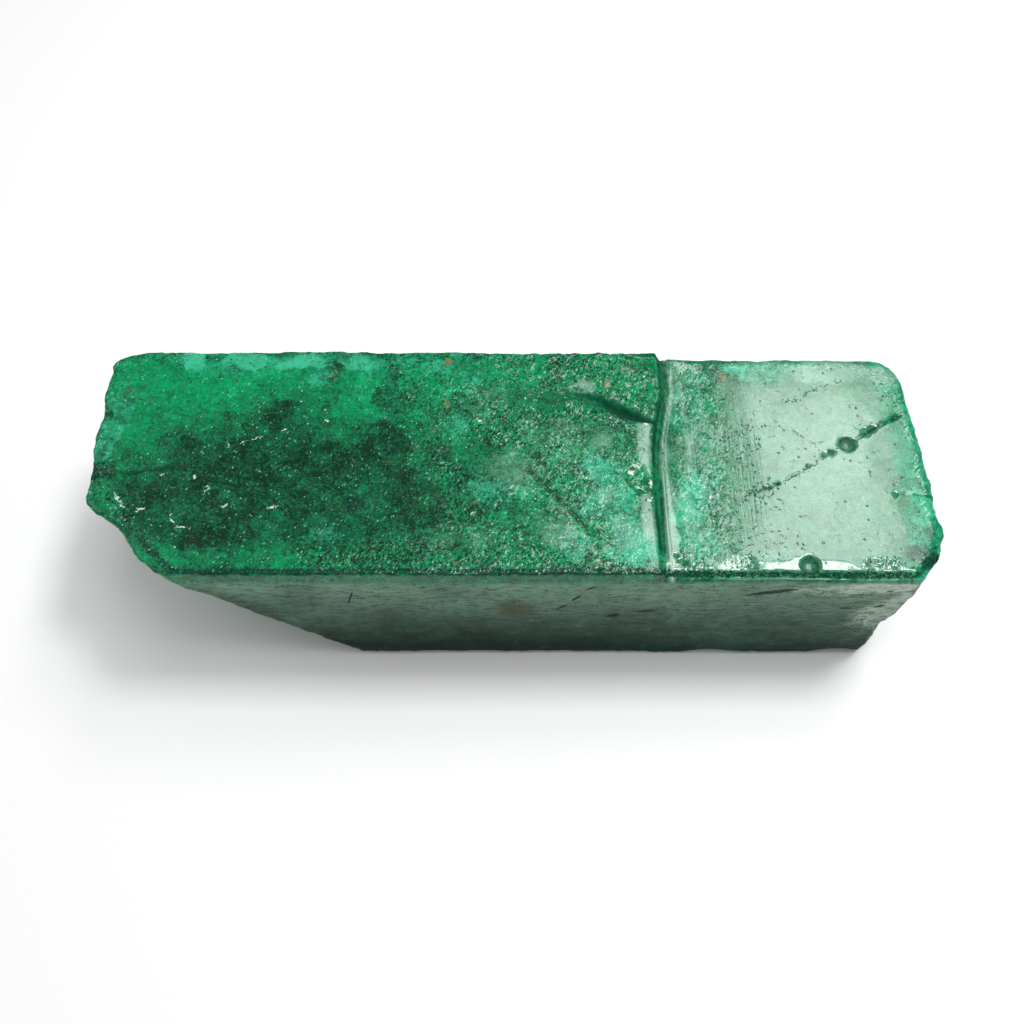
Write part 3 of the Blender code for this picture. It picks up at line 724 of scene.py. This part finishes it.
class Nodes:
    """Short calls that build a node tree, with places in millimetres."""

    def __init__(self, tree):
        self.tree = tree

    def add(self, kind, inputs=None, output=0, **settings):
        """One of the outputs of a new node."""
        node = self.tree.nodes.new(kind)
        for name, value in settings.items():
            setattr(node, name, value)
        for key, value in (inputs or {}).items():
            self.feed(node.inputs[key], value)
        return node.outputs[output]

    def feed(self, socket, value):
        """Links an output to the socket, or sets a plain value there."""
        if isinstance(value, bpy.types.NodeSocket):
            self.tree.links.new(value, socket)
        elif isinstance(value, tuple) and len(value) == 3 and socket.type == "RGBA":
            socket.default_value = (*value, 1.0)
        else:
            socket.default_value = value

    def math(self, operation, a, b=0.0, c=0.0, clamp=False):
        return self.add("ShaderNodeMath", {0: a, 1: b, 2: c}, operation=operation, use_clamp=clamp)

    def times(self, a, b):
        return self.math("MULTIPLY", a, b)

    def plus(self, a, b, clamp=False):
        return self.math("ADD", a, b, clamp=clamp)

    def span(self, value, low, high, to_low=0.0, to_high=1.0):
        """Maps low..high smoothly to to_low..to_high."""
        sockets = {"Value": value, "From Min": low, "From Max": high, "To Min": to_low, "To Max": to_high}
        return self.add("ShaderNodeMapRange", sockets, interpolation_type="SMOOTHSTEP")

    def mix(self, share, a, b):
        """Colour a where the share is 0, colour b where it is 1."""
        return self.add("ShaderNodeMix", {0: share, 6: a, 7: b}, output=2, data_type="RGBA")

    def layers(self, colour, *layers):
        """The colour, covered by further colours, each by its share."""
        for share, over in layers:
            colour = self.mix(share, colour, over)
        return colour

    def noise(self, place, scale, detail=2.0, roughness=0.5):
        sockets = {"Vector": place, "Scale": scale, "Detail": detail, "Roughness": roughness}
        return self.add("ShaderNodeTexNoise", sockets)

    def noise_vector(self, place, scale):
        """Three noises as one vector."""
        return self.add("ShaderNodeTexNoise", {"Vector": place, "Scale": scale, "Detail": 2.0}, output=1)

    def moved(self, place, vector, reach):
        """The place, moved by the vector times the reach."""
        sockets = {0: vector, 1: (reach, reach, reach), 2: place}
        return self.add("ShaderNodeVectorMath", sockets, operation="MULTIPLY_ADD")

    def mapping(self, place, kind, **sockets):
        """The place, mapped by a location, a rotation or a scale."""
        named = {name.capitalize(): value for name, value in sockets.items()}
        return self.add("ShaderNodeMapping", {"Vector": place, **named}, vector_type=kind)

    def voronoi(self, place, scale):
        """The distance and the colour outputs of irregular cells."""
        return self.add("ShaderNodeTexVoronoi", {"Vector": place, "Scale": scale}).node.outputs

    def red(self, colour):
        """The first channel of a colour, which is random for a cell's colour."""
        return self.add("ShaderNodeSeparateColor", {0: colour})

    def dots(self, place, scale, radius, chosen, strength=1.0):
        """Soft dots, with an inner and an outer radius, in the cells whose random number is high."""
        cell = self.voronoi(place, scale)
        dot = self.span(cell["Distance"], *radius, strength, 0.0)
        return self.times(dot, self.span(self.red(cell["Color"]), *chosen))

    def vector(self, operation, a, b=(0.0, 0.0, 0.0)):
        return self.add("ShaderNodeVectorMath", {0: a, 1: b}, operation=operation)

    def spot(self, place, middle, turn, half_size):
        """A turned ellipsoid: 1 in its middle, 0 at its surface."""
        near = self.mapping(place, "TEXTURE", location=middle, rotation=turn, scale=half_size)
        return self.add("ShaderNodeTexGradient", {0: near}, output=1, gradient_type="SPHERICAL")

    def centred_sum(self, *weighted):
        """The sum of values from 0 to 1, each with its weight, moved so that its middle is 0."""
        total = -0.5 * sum(weight for value, weight in weighted)
        for value, weight in weighted:
            total = self.math("MULTIPLY_ADD", value, weight, total)
        return total

    def facets(self, place, scale, strength):
        """A random tilt for each irregular cell; about half of the cells stay calm."""
        cells = self.voronoi(place, scale)["Color"]
        split = self.add("ShaderNodeSeparateColor", {0: cells}).node.outputs
        lively = self.times(self.span(split["Blue"], 0.35, 0.6), strength)
        tilt = self.vector("SUBTRACT", cells, (0.5, 0.5, 0.5))
        return self.add("ShaderNodeVectorMath", {0: tilt, "Scale": lively}, operation="SCALE")

    def ramp(self, share, stops):
        """A colour ramp with the given stops."""
        colour = self.add("ShaderNodeValToRGB", {0: share})
        elements = colour.node.color_ramp.elements
        while len(elements) < len(stops):
            elements.new(0.5)
        for element, (position, rgb) in zip(elements, stops):
            element.position = position
            element.color = (*rgb, 1.0)
        return colour

    def stored(self, name):
        """The three colour channels and the alpha of a stored attribute."""
        found = self.add("ShaderNodeAttribute", attribute_name=name).node.outputs
        split = self.add("ShaderNodeSeparateColor", {0: found["Color"]}).node.outputs
        return (*split[:3], found["Alpha"])


BODY_STOPS = (
    (0.0, (0.005, 0.028, 0.014)), (0.25, (0.007, 0.074, 0.035)), (0.5, (0.006, 0.155, 0.064)),
    (0.75, (0.003, 0.235, 0.084)), (1.0, (0.001, 0.33, 0.112)),
)
TEAL = (0.045, 0.46, 0.268)
# PALE is pale, milky stone, and also the painted reflection of the window on the right part and the painted
# highlight on the fissure's lip.
PALE = (0.2, 0.38, 0.285)
BROWN = (0.17, 0.19, 0.075)
FRONT_BROWN_COLOUR = (0.05, 0.064, 0.03)
# The colours of painted highlights and painted glints.
HIGHLIGHT_WHITE = (0.68, 0.84, 0.75)
GLINT = (0.27, 0.68, 0.48)
# The stone's own dark, and also the painted shade in pores, pits, cracks, valleys and along the front edge.
DARK_AND_SHADE = (0.003, 0.046, 0.024)
VALLEY = (0.004, 0.19, 0.08)
OLIVE = (0.045, 0.098, 0.024)
# FROST_LOW is the frost's dark, and also the painted shade towards the foot of the frosted faces.
FROST = (0.225, 0.385, 0.28)
FROST_LOW = (0.002, 0.013, 0.008)
FROST_PALE = (0.56, 0.66, 0.56)
MIRRORED_TINT = (0.93, 1.0, 0.96)
REFRACTION = 1.58
# How strongly the skin mirrors, and how strongly its frosted, deep and steep places do.
REFLECTANCE = 0.38
DULL_REFLECTANCE = 0.1
# Short painted white highlights on the top face, glints on small chips and on rims: X, Y, half length, half
# width, turn in degrees.
PAINTED_HIGHLIGHTS = (
    (-34.5, -5.9, 0.75, 0.16, 20.0), (-36.9, -4.7, 0.9, 0.14, -50.0), (-36.2, -5.6, 0.5, 0.13, -35.0),
    (-26.6, -5.5, 0.45, 0.2, 45.0), (-22.1, -5.6, 0.65, 0.22, 28.0), (-31.3, -7.2, 0.7, 0.14, -38.0),
    (-30.4, -7.8, 0.6, 0.14, -15.0), (-28.6, -3.8, 0.6, 0.12, 75.0), (-33.2, -2.0, 0.35, 0.2, 0.0),
    (-30.0, -2.3, 0.25, 0.2, 30.0), (-17.9, 4.3, 0.2, 0.2, 0.0), (-22.0, 3.2, 0.55, 0.09, 50.0),
    (-25.8, 1.7, 0.7, 0.08, 20.0), (-24.6, 2.1, 0.8, 0.08, 24.0), (-27.3, 1.4, 0.6, 0.08, -75.0),
    (13.9, 3.9, 0.38, 0.28, 0.0), (11.9, 3.5, 0.18, 0.16, 0.0), (-2.6, 4.3, 0.3, 0.2, 0.0),
    (12.75, -1.1, 0.65, 0.3, 15.0), (12.0, -1.75, 0.6, 0.2, 30.0), (13.65, -4.85, 0.6, 0.24, 40.0),
    (13.9, -3.0, 0.24, 0.7, 0.0), (12.9, -3.6, 0.9, 0.09, -35.0), (15.0, -11.35, 0.45, 0.32, 70.0),
    (15.9, -11.5, 0.35, 0.2, 20.0),
)
# Short dark marks on the front face: X, Z, half length, half width, turn in degrees.
FRONT_MARKS = (
    (24.8, 15.6, 2.7, 0.5, 17.0), (26.2, 16.1, 1.5, 0.36, 12.0), (5.4, 12.5, 0.9, 0.22, 48.0),
    (6.7, 14.6, 1.0, 0.24, 56.0), (7.9, 16.7, 0.9, 0.18, 42.0), (10.5, 10.3, 0.9, 0.4, 18.0),
    (36.0, 12.6, 0.7, 0.26, 24.0), (32.9, 12.1, 0.8, 0.28, 6.0), (35.9, 16.0, 0.5, 0.2, 0.0),
    (13.6, 11.4, 1.2, 0.35, 10.0), (-14.8, 14.4, 1.9, 0.13, 74.0),
)


def largest_spot(n, place, spots):
    """Near 1 inside the spots, falling to 0 at their edges; turns are in degrees."""
    found = 0.0
    for middle, turn, half_size in spots:
        turn = tuple(math.radians(angle) for angle in turn)
        found = n.math("MAXIMUM", found, n.spot(place, tuple(middle - DRAWING), turn, half_size))
    return found


def shared_patterns(n):
    """The place, the painted values and the random patterns that the look is made of."""
    p = SimpleNamespace()
    in_metres = n.add("ShaderNodeTexCoord", output=3)
    p.place = n.add("ShaderNodeVectorMath", {0: in_metres, "Scale": 1.0 / MM}, operation="SCALE")
    # The body's pale share holds pale stone and also painted reflection and highlight; the first value of the
    # skin and the last of the marks are painted shade.
    p.tone, p.teal, p.pale, p.brown = n.stored("body")
    p.cavity, p.grain, p.glossy, p.frost = n.stored("skin")
    p.pitted, p.scratched, p.valley, p.front_edge = n.stored("marks")
    # Glossy skin shows the patterns weakly.
    p.uneven = n.math("MULTIPLY_ADD", p.glossy, -0.65, 1.0)

    # Bent and ragged places make grains and spots irregular; others draw them out along one direction.
    p.bent = n.moved(p.place, n.noise_vector(p.place, 0.9), 1.6)
    stir = n.vector("SUBTRACT", n.noise_vector(p.place, 2.6), (0.5, 0.5, 0.5))
    p.ragged = n.moved(p.place, stir, 0.9)
    turn = (0.0, 0.0, math.radians(60.0))
    p.drawn_out = n.mapping(p.place, "TEXTURE", rotation=turn, scale=(1.9, 1.0, 1.0))

    # Angular grains in two sizes, clouds, mottles, speckles, and sparkle for painted glints.
    p.grains = n.red(n.voronoi(p.bent, 0.62)["Color"])
    p.small = n.red(n.voronoi(p.bent, 1.9)["Color"])
    p.clouds = n.noise(p.place, 0.45, 3.0, 0.6)
    p.mottle = n.noise(p.bent, 1.5, 5.0, 0.75)
    p.speckle = n.noise(p.place, 4.2, 3.0, 0.75)
    p.broken = n.centred_sum((p.small, 0.25), (p.clouds, 0.4), (p.mottle, 0.6), (p.speckle, 0.5))
    sparkle = n.noise(n.vector("ADD", p.place, (31.0, 17.0, 5.0)), 5.2, 3.0, 0.8)
    # Where this is high, painted glints light up grains and white specks.
    p.lively = n.plus(n.plus(sparkle, n.times(n.plus(p.clouds, -0.5), 0.18)), n.times(p.grain, 0.045))

    # Pores everywhere, and tiny pits where they are painted.
    p.pores = n.dots(p.place, 1.05, (0.08, 0.16), (0.55, 0.65))
    pit = n.voronoi(p.ragged, 2.6)
    chosen = n.span(n.math("SUBTRACT", p.pitted, n.red(pit["Color"])), -0.1, 0.1)
    p.pits = n.times(n.span(pit["Distance"], 0.22, 0.4, 1.0, 0.0), chosen)
    return p


def body_colour(n, p):
    """The stone's body: uneven greens, with teal, olive and brown places, pale places that are partly milky
    stone and partly painted reflection and highlight, painted glints on some grains, and painted light and
    shade along the drawn-out grain.
    """
    parts = ((p.grains, 0.15), (p.small, 0.2), (p.clouds, 0.35), (p.mottle, 1.05), (p.speckle, 1.4))
    shift = n.times(n.centred_sum(*parts), p.uneven)
    # Painted glints lighten some grains, and painted light and shade draw out the grain where it is granular.
    lit_grains = n.times(n.span(p.lively, 0.6, 0.72), 0.4)
    painted_relief = n.times(n.plus(n.noise(p.drawn_out, 5.6, 2.0, 0.6), -0.52), n.times(p.grain, 2.9))
    shift = n.plus(n.plus(shift, n.times(lit_grains, p.uneven)), painted_relief)
    milky_and_reflection = n.plus(p.pale, n.times(p.broken, 0.6))
    olive = n.noise(n.vector("ADD", p.bent, (7.0, 3.0, 0.0)), 1.1, 4.0, 0.75)
    return n.layers(
        n.ramp(n.plus(p.tone, shift, clamp=True), BODY_STOPS),
        (n.span(n.plus(p.teal, p.broken), 0.12, 0.95, 0.0, 0.92), TEAL),
        (n.span(milky_and_reflection, 0.1, 0.85, 0.0, 0.8), PALE),
        (n.span(p.pale, 0.82, 1.0, 0.0, 0.6), HIGHLIGHT_WHITE),
        (n.times(n.span(olive, 0.54, 0.68, 0.0, 0.38), p.uneven), OLIVE),
        (n.span(n.plus(p.brown, p.broken), 0.25, 0.75, 0.0, 0.85), BROWN),
    )


def frosted_colour(n, p):
    """The frosted side faces: darker towards the foot as painted shade, with pale places, dark mottles and
    brown stains.
    """
    place = n.add("ShaderNodeSeparateXYZ", {0: p.place}).node.outputs
    # Painted shade darkens the frosted faces towards the foot, and painted light lifts the foot on the right.
    lit_foot = n.times(n.span(place["X"], 8.0, 24.0), n.span(place["Z"], 4.0, 9.0, 2.6, 0.0))
    cloudy_height = n.plus(n.plus(place["Z"], n.times(n.plus(p.clouds, -0.5), 5.0)), lit_foot)
    level = n.mapping(p.place, "POINT", scale=(0.45, 1.0, 1.4))
    dirt = n.centred_sum((n.noise(level, 1.6, 4.0, 0.7), 2.2), (p.speckle, 0.9))
    stained = n.plus(p.brown, n.centred_sum((p.speckle, 2.6), (p.mottle, 1.6)))
    return n.layers(
        n.mix(n.span(cloudy_height, 2.0, 21.0), FROST_LOW, FROST),
        (n.span(p.tone, 0.05, 0.42, 0.5, 0.0), FROST_LOW),
        (n.span(n.plus(p.pale, p.broken), 0.1, 0.9, 0.0, 0.9), FROST_PALE),
        (n.span(dirt, -0.45, 0.15, 0.65, 0.0), FROST_LOW),
        (n.span(stained, 0.3, 0.9, 0.0, 0.8), FRONT_BROWN_COLOUR),
    )


def with_dark_places(n, p, colour):
    """The colour with dark mottles, fine dark specks and painted white glints, and painted shade in pores,
    pits, valleys, cavities and along the front edge.
    """
    blots = n.times(n.span(p.mottle, 0.34, 0.46, 1.0, 0.0), p.uneven)
    fine_specks = n.noise(n.vector("ADD", p.place, (3.0, 41.0, 9.0)), 6.0, 2.0, 0.7)
    valley_colour = n.mix(n.span(p.mottle, 0.42, 0.62, 0.8, 0.0), VALLEY, DARK_AND_SHADE)
    ragged_front_shade = n.plus(p.front_edge, n.centred_sum((p.speckle, 4.4), (p.mottle, 1.8)))
    ragged_front_shade = n.times(n.span(ragged_front_shade, 0.38, 0.8), n.span(p.front_edge, 0.0, 0.2))
    return n.layers(
        colour,
        (n.times(blots, 0.35), DARK_AND_SHADE),
        # Fine dark specks, and fine white specks that are painted glints, on the glossy part.
        (n.times(n.span(fine_specks, 0.3, 0.4, 0.42, 0.0), p.glossy), DARK_AND_SHADE),
        (n.times(n.span(fine_specks, 0.62, 0.7, 0.0, 0.4), p.glossy), HIGHLIGHT_WHITE),
        # Painted shade darkens the pores, the pits, the valleys, the cavities and the line along the front
        # edge.
        (n.times(p.pores, 0.7), DARK_AND_SHADE),
        (n.times(p.pits, 0.45), DARK_AND_SHADE),
        (n.span(p.valley, 0.2, 0.7, 0.0, 0.95), valley_colour),
        (n.span(p.cavity, 0.1, 0.8, 0.0, 0.92), DARK_AND_SHADE),
        (ragged_front_shade, DARK_AND_SHADE),
    )


def with_front_marks(n, p, colour):
    """The colour with the dark marks of the front face."""
    spots = [
        ((x, FRONT_FACE_Y, z), (0.0, -turn, 0.0), (half_length, 3.0, half_width))
        for x, z, half_length, half_width, turn in FRONT_MARKS
    ]
    near = largest_spot(n, p.place, spots)
    marks = n.span(n.plus(near, n.centred_sum((p.speckle, 1.4))), 0.1, 0.35)
    marks = n.times(marks, n.span(near, 0.0, 0.08))
    return n.mix(n.times(marks, 0.9), colour, FROST_LOW)


def with_painted_glints(n, p, colour):
    """The colour with the painted glints and highlights of the top face: glinting dots, white specks and
    short white highlights.
    """
    glint_dots = n.dots(p.drawn_out, 3.4, (0.1, 0.28), (0.32, 0.8))
    glint_dots = n.times(n.times(glint_dots, n.span(p.clouds, 0.42, 0.58, 0.3, 1.0)), p.uneven)
    colour = n.mix(n.times(glint_dots, n.math("MULTIPLY_ADD", p.grain, 0.25, 0.7)), colour, GLINT)
    glint_specks = n.times(n.times(n.span(p.lively, 0.685, 0.765), p.uneven), 0.65)
    dots = n.times(n.dots(p.ragged, 1.2, (0.03, 0.13), (0.4, 1.0), strength=0.9), p.uneven)
    spots = [
        ((x, y, LEFT_LEVEL), (0.0, 0.0, turn), (half_length, half_width, 2.0))
        for x, y, half_length, half_width, turn in PAINTED_HIGHLIGHTS
    ]
    near = n.math("MAXIMUM", dots, largest_spot(n, p.ragged, spots))
    highlight_spots = n.span(n.plus(near, n.centred_sum((p.speckle, 2.2))), 0.15, 0.7)
    highlight_spots = n.times(highlight_spots, n.span(near, 0.0, 0.12))
    return n.mix(n.times(n.math("MAXIMUM", glint_specks, highlight_spots), 0.85), colour, HIGHLIGHT_WHITE)


def roughness(n, p):
    """Glossy on the right, granular in the middle, matt on the frosted faces."""
    rough = n.math("MULTIPLY_ADD", n.noise(p.place, 1.4, 3.0), 0.16, 0.16)
    rough = n.plus(rough, n.times(p.glossy, -0.13))
    return n.plus(rough, n.times(n.math("MAXIMUM", p.frost, p.valley), 0.35), clamp=True)


def faceted_normal(n, p):
    """The face's direction, tilted at random by tiny crystal facets, which glint here and there."""
    matt_right = n.times(n.math("SUBTRACT", 1.0, p.glossy), 0.08)
    normal = n.add("ShaderNodeNewGeometry", output=1)
    kinds = ((p.place, 8.0, 0.34, 0.7), (p.drawn_out, 6.0, 0.46, 0.7), (p.bent, 1.7, 0.15, 0.4))
    for place, scale, share, least in kinds:
        strength = n.math("MULTIPLY_ADD", p.grain, share, n.times(matt_right, least))
        normal = n.vector("ADD", normal, n.facets(place, scale, strength))
    return n.vector("NORMALIZE", normal)


def fine_relief(n, p):
    """Heights in millimetres: dust, pores, pits, scratches and frost."""
    dust = n.times(n.noise(p.place, 5.5, 3.0, 0.65), n.math("MULTIPLY_ADD", p.glossy, -0.007, 0.012))
    scratches = n.noise(n.mapping(p.place, "POINT", scale=(5.0, 0.16, 1.0)), 1.0, 3.0, 0.65)
    frost = n.noise(p.place, 3.0, 4.0, 0.7)
    height = n.plus(dust, n.times(p.pores, -0.05))
    height = n.plus(height, n.times(p.pits, -0.07))
    height = n.plus(height, n.times(n.times(scratches, p.scratched), 0.03))
    return n.plus(height, n.times(p.frost, n.times(frost, 0.04)))


def emerald_material(name, reflectance, with_marks):
    """The stone, with the given marks on it."""
    material = bpy.data.materials.new(name)
    material.use_nodes = True
    n = Nodes(material.node_tree)
    p = shared_patterns(n)
    colour = n.mix(n.times(p.frost, 0.92), body_colour(n, p), frosted_colour(n, p))
    relief = {"Height": fine_relief(n, p), "Distance": MM, "Strength": 1.0, "Normal": faceted_normal(n, p)}
    look = {
        "Base Color": with_marks(n, p, with_dark_places(n, p, colour)),
        "Roughness": roughness(n, p),
        "Normal": n.add("ShaderNodeBump", relief),
        "IOR": REFRACTION,
        "Specular IOR Level": reflectance,
        "Specular Tint": MIRRORED_TINT,
    }
    shader = material.node_tree.nodes["Principled BSDF"]
    for socket, value in look.items():
        n.feed(shader.inputs[socket], value)
    return material


# ---- the crystal

def fine_crystal():
    """The crystal: the filled solid as an even mesh, carved, thinned out and painted."""
    obj = add_object("emerald", filled_solid())
    remesh = obj.modifiers.new("even_faces", "REMESH")
    remesh.mode = "VOXEL"
    remesh.voxel_size = VOXEL * MM
    rounding = obj.modifiers.new("rounding", "SMOOTH")
    rounding.factor = 0.5
    rounding.iterations = ROUNDING_STEPS
    apply_modifiers(obj)
    carve(obj)
    thin_out(obj)
    obj.data.materials.clear()
    obj.data.materials.append(emerald_material("emerald", REFLECTANCE, with_painted_glints))
    obj.data.materials.append(emerald_material("emerald_frosted", DULL_REFLECTANCE, with_front_marks))
    paint(obj)
    obj.data.shade_smooth()
    return obj


emerald = fine_crystal()
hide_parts(NODE)
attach(emerald, "root")


# ---- stage and camera

# Half the side of the sheet of paper that the crystal lies on, in metres.
FLOOR_HALF = 1.5
PAPER = (0.9, 0.9, 0.905, 1.0)


def add_floor():
    """A wide sheet of matt white paper."""
    bm = bmesh.new()
    bmesh.ops.create_grid(bm, x_segments=1, y_segments=1, size=FLOOR_HALF)
    mesh = bpy.data.meshes.new("floor")
    bm.to_mesh(mesh)
    bm.free()
    floor = add_object("floor", mesh)
    paper = bpy.data.materials.new("paper")
    paper.use_nodes = True
    shader = paper.node_tree.nodes["Principled BSDF"]
    shader.inputs["Base Color"].default_value = PAPER
    shader.inputs["Roughness"].default_value = 0.9
    shader.inputs["Specular IOR Level"].default_value = 0.0
    floor.data.materials.append(paper)
    return floor


add_floor()


def add_panel(name, middle, size, radiance, turn=0.0, seen_in_gloss=True):
    """A rectangular light that faces straight down, with the given radiance."""
    light = bpy.data.lights.new(name, "AREA")
    light.shape = "RECTANGLE"
    light.size = size[0] * MM
    light.size_y = size[1] * MM
    light.energy = radiance * math.pi * light.size * light.size_y
    panel = add_object(name, light)
    panel.location = Vector(middle) * MM
    panel.rotation_euler = (0.0, 0.0, math.radians(turn))
    panel.visible_glossy = seen_in_gloss
    panel.visible_camera = False


# Places and sizes are in millimetres. The right part of the top face mirrors the window, and its front rim
# the window's brighter top.
add_panel("window", (130.0, 170.0, 300.0), (72.0, 118.0), 10.3, turn=-7.0)
add_panel("window_top", (139.0, 60.0, 330.0), (88.0, 78.0), 26.0)
add_panel("lamp", (48.0, 10.0, 270.0), (130.0, 130.0), 3.9, seen_in_gloss=False)
add_panel("room_top", (0.0, -60.0, 350.0), (220.0, 120.0), 1.2)
add_panel("room_left", (-230.0, 40.0, 260.0), (120.0, 240.0), 1.2)

world = bpy.data.worlds.new("room")
bpy.context.scene.world = world
world.use_nodes = True
world.node_tree.nodes["Background"].inputs["Color"].default_value = (1.0, 1.0, 1.0, 1.0)
world.node_tree.nodes["Background"].inputs["Strength"].default_value = 0.4
world.cycles_visibility.glossy = False

# The camera's place, how far down it looks, and its focal length and picture width in pixels.
CAMERA_PLACE = (0.55, -52.59, 101.0)
CAMERA_PITCH = 60.5
FOCAL_LENGTH = 1000.0
PICTURE_WIDTH = 1024.0
SENSOR_WIDTH = 36.0

camera = add_object("camera", bpy.data.cameras.new("camera"))
camera.location = to_part(CAMERA_PLACE)
camera.rotation_euler = Euler((math.radians(90.0 - CAMERA_PITCH), 0.0, 0.0))
camera.data.sensor_width = SENSOR_WIDTH
camera.data.lens = FOCAL_LENGTH / PICTURE_WIDTH * SENSOR_WIDTH
camera.data.clip_start = 0.005
camera.data.clip_end = 20.0
bpy.context.scene.camera = camera
bpy.context.scene.view_settings.view_transform = "Standard"
